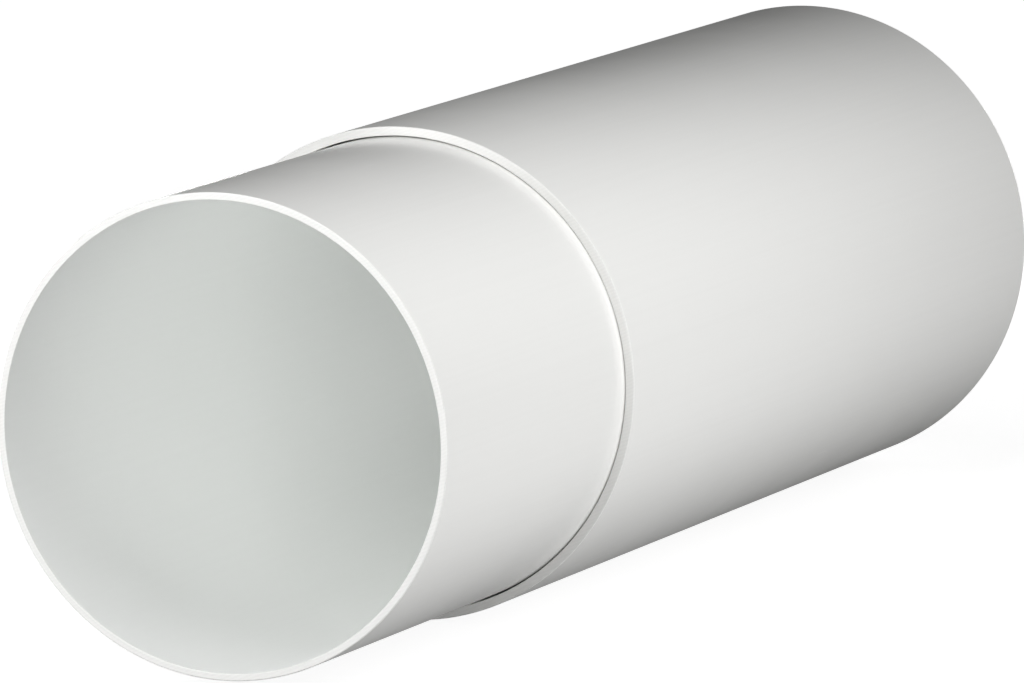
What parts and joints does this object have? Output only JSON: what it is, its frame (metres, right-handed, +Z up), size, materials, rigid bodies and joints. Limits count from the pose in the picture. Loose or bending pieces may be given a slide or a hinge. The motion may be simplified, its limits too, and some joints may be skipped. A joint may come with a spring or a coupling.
{
  "type": "telescopic wall vent sleeve",
  "caption": "Plain round plastic tube that slides inside a slightly wider one, to line a duct hole through a wall and follow its thickness.",
  "frame": {"origin": "on the common axis, halfway along the wider tube", "axes": "+Y along the common axis, from the end of the narrower tube towards the far end of the wider one, and +Z up"},
  "size_m": [0.135, 0.42, 0.135],
  "materials": {
    "white_pvc": "smooth extruded rigid PVC, sawn ends"
  },
  "bodies": {
    "wall_part": {"outer_tube": "white_pvc"},
    "sliding_part": {"inner_tube": "white_pvc"}
  },
  "joints": [
    {"name": "inner_slide", "type": "slide", "parent": "wall_part", "child": "sliding_part", "axis": [0, -1, 0], "range_m": [-0.12, 0.08]}
  ]
}
